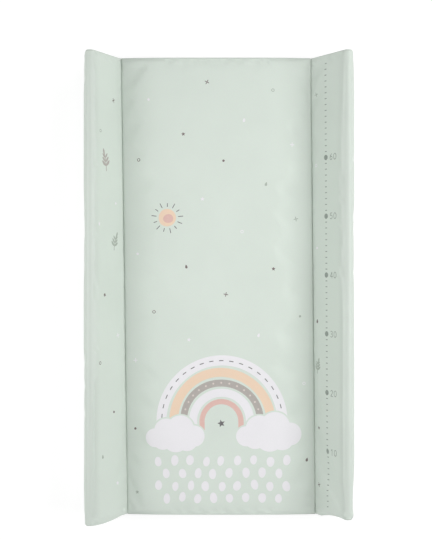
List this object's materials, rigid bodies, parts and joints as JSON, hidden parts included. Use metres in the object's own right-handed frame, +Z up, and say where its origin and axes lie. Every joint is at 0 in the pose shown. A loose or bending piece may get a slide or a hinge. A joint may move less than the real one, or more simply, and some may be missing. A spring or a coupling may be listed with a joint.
{
  "type": "changing mat",
  "caption": "Changing mat with raised foam sides, a crowned wipe-clean lying area with a plain printed length scale, and a hard base on rubber stops.",
  "frame": {"origin": "on the floor, under the middle of the mat", "axes": "+Z up; +Y along the length towards the head end, which is the top of the picture; +X towards the right side, which has the printed scale"},
  "size_m": [0.455, 0.797, 0.105],
  "materials": {
    "printed_vinyl": "satin",
    "plain_vinyl": "satin",
    "fibreboard": "matte",
    "foam": "matte",
    "stop_rubber": "matte",
    "zinc_steel": "satin",
    "nickel_brass": "satin"
  },
  "bodies": {
    "root": {"top_cover": "printed_vinyl", "end_panel_head": "printed_vinyl", "end_panel_foot": "printed_vinyl", "bottom_cover": "plain_vinyl", "base_board": "fibreboard", "foam_pad": "foam", "bolster_core_left": "foam", "bolster_core_right": "foam", "valley_tie_left": "plain_vinyl", "valley_tie_right": "plain_vinyl", "cot_stop_1": "stop_rubber", "stop_washer_1": "zinc_steel", "stop_screw_1": "zinc_steel", "insert_nut_1": "zinc_steel", "cot_stop_2": "stop_rubber", "stop_washer_2": "zinc_steel", "stop_screw_2": "zinc_steel", "insert_nut_2": "zinc_steel", "cot_stop_3": "stop_rubber", "stop_washer_3": "zinc_steel", "stop_screw_3": "zinc_steel", "insert_nut_3": "zinc_steel", "cot_stop_4": "stop_rubber", "stop_washer_4": "zinc_steel", "stop_screw_4": "zinc_steel", "insert_nut_4": "zinc_steel", "vent_eyelet_1": "nickel_brass", "vent_eyelet_2": "nickel_brass"}
  },
  "joints": []
}
